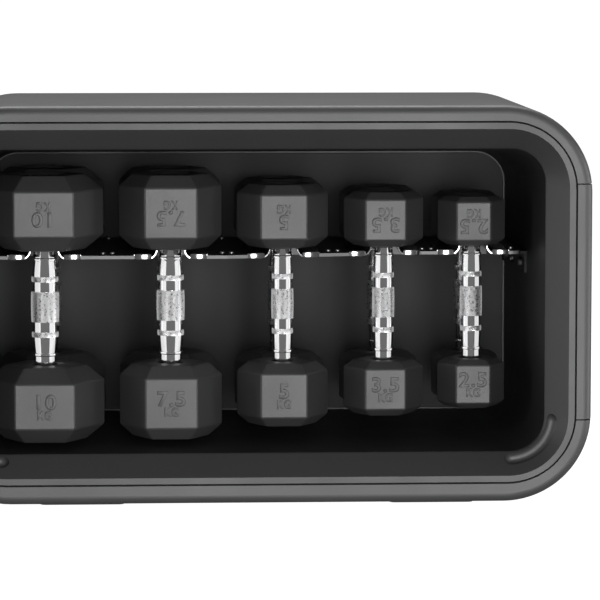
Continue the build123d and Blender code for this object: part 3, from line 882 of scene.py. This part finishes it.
# ---- Stage ----
def make_floor():
    mesh = bpy.data.meshes.new("floor")
    count = 64
    ring = [(FLOOR_RADIUS * math.cos(2 * math.pi * i / count),
             FLOOR_RADIUS * math.sin(2 * math.pi * i / count), 0) for i in range(count)]
    mesh.from_pydata(ring, [], [list(range(count))])
    floor = bpy.data.objects.new("floor", mesh)
    bpy.context.collection.objects.link(floor)
    material, shader = new_material("pale_floor", (0.2, 0.2, 0.2), 0.9, specular=0.1)
    path = material.node_tree.nodes.new("ShaderNodeLightPath")
    shader.inputs["Emission Color"].default_value = (1, 1, 1, 1)
    glow = map_range(material.node_tree, path.outputs["Is Camera Ray"], 0, 1, FLOOR_GLOW, 1)
    material.node_tree.links.new(glow, shader.inputs["Emission Strength"])
    mesh.materials.append(material)
    floor.visible_glossy = False
    floor.visible_shadow = False


def area_light(name, box, target):
    data = bpy.data.lights.new(name, "AREA")
    data.energy = box.watts
    data.size = box.width
    if box.height:
        data.shape = "RECTANGLE"
        data.size_y = box.height
    light = bpy.data.objects.new(name, data)
    bpy.context.collection.objects.link(light)
    light.location = box.place
    aim = Vector(target) - Vector(box.place)
    light.rotation_euler = aim.to_track_quat("-Z", "Y").to_euler()
    light.visible_camera = False
    return light


def spare(light, pieces):
    """Keeps a light off the given pieces, which would mirror it as one wide glare."""
    spared = bpy.data.collections.new(f"spared_by_{light.name}")
    for piece in pieces:
        spared.objects.link(piece)
    light.light_linking.receiver_collection = spared
    for entry in spared.collection_objects:
        entry.light_linking.link_state = "EXCLUDE"


def only(light, pieces):
    """Lets a light reach only the given pieces."""
    lit = bpy.data.collections.new(f"lit_by_{light.name}")
    for piece in pieces:
        lit.objects.link(piece)
    light.light_linking.receiver_collection = lit


def around(center, distance, turn):
    """The point at a level distance from the centre, turned from the front by so many degrees."""
    angle = math.radians(turn)
    return Vector(center) + distance * Vector((math.sin(angle), -math.cos(angle), 0))


def handle_cards(node, pieces, turns, watts):
    """Small cards on both sides of one handle, which its chrome mirrors as long stripes."""
    low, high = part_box(node)
    axis = (Vector(low) + Vector(high)) / 2
    for turn in turns:
        box = Box(around(axis, CARD_DISTANCE, turn), CARD_WIDTH, CARD_HEIGHT, watts)
        only(area_light(f"{node}_card_{turn % 360}", box, axis), pieces)


def make_lights():
    front = area_light("front_box", FRONT_BOX, MIDDLE)
    bolts = [piece for piece in BRIGHT_STEEL if piece.name.startswith("shelf_bolts")]
    spare(front, HANDLES + bolts + [frame["nodes"]["shelf_brackets"]])
    for side, name in ((-1, "left"), (1, "right")):
        for kind, box, height in (("box", SIDE_BOX, 0.2), ("rim_box", RIM_BOX, 0.3)):
            mirrored = box._replace(place=(side * box.place[0], *box.place[1:]))
            light = area_light(f"{name}_{kind}", mirrored, (0, -0.1, height))
            spare(light, HANDLES + BRIGHT_STEEL)
        for turn, width in OUTER_CARDS:
            box = Box(around(MIDDLE, OUTER_DISTANCE, side * turn), width, OUTER_HEIGHT,
                      OUTER_WATTS_PER_METRE * width)
            only(area_light(f"{name}_card_{turn}", box, MIDDLE), KNURLS)
    for weight in SHAPES:
        node = f"dumbbell_{weight}_front_handle"
        shaft = [piece for piece in HANDLES if piece.name.startswith(node)]
        grips = [piece for piece in KNURLS if piece.name.startswith(f"dumbbell_{weight}_front")]
        handle_cards(node, shaft, (-CARD_TURN, CARD_TURN), CARD_WATTS)
        handle_cards(node, grips, (-GRIP_CARD_TURN, GRIP_CARD_TURN), GRIP_CARD_WATTS)
    back = area_light("back_box", BACK_BOX, (0, 0, 0.4))
    spare(back, HANDLES + BRIGHT_STEEL)


def make_world():
    world = bpy.data.worlds.new("studio")
    bpy.context.scene.world = world
    world.use_nodes = True
    tree = world.node_tree
    background = tree.nodes["Background"]
    path = tree.nodes.new("ShaderNodeLightPath")
    strength = map_range(tree, path.outputs["Is Camera Ray"], 0, 1, ROOM_LIGHT, 1)
    tree.links.new(strength, background.inputs["Strength"])
    background.inputs["Color"].default_value = (1, 1, 1, 1)


def make_camera():
    data = bpy.data.cameras.new("camera")
    data.lens = CAMERA_LENS
    data.clip_end = 200
    camera = bpy.data.objects.new("camera", data)
    bpy.context.collection.objects.link(camera)
    camera.location = CAMERA_AT
    aim = Vector(CAMERA_LOOKS_AT) - Vector(CAMERA_AT)
    camera.rotation_euler = aim.to_track_quat("-Z", "Y").to_euler()
    bpy.context.scene.camera = camera


# Finished pieces that some lights spare or pick out.
HANDLES = []
KNURLS = []
BRIGHT_STEEL = []
KNURL_TREE = make_knurl_tree()
SADDLE_TREE = make_saddle_tree()

dress_cad_nodes()
for weight, shape in SHAPES.items():
    for row in ROWS:
        body = f"dumbbell_{weight}_{row}"
        make_handle(f"{body}_handle", body, shape)
        make_head(f"{body}_upper_head", body, shape, outer_up=True)
        make_head(f"{body}_lower_head", body, shape, outer_up=False)
make_saddles()
screw_piece = new_object("one_screw", screw_template("one_screw"), "screw_steel")
screw_tree = make_screw_tree(screw_piece)
make_screws(screw_tree, "shelf_screws", 2, True)
make_screws(screw_tree, "cover_screws", 1, True)
make_screws(screw_tree, "shelf_bolts", 0, False, select=lambda low: low.x > 0)
make_screws(screw_tree, "shelf_bolts", 0, True, select=lambda low: low.x < 0)
bpy.data.objects.remove(screw_piece)
make_floor()
make_lights()
make_world()
make_camera()
bpy.context.scene.view_settings.view_transform = "Standard"
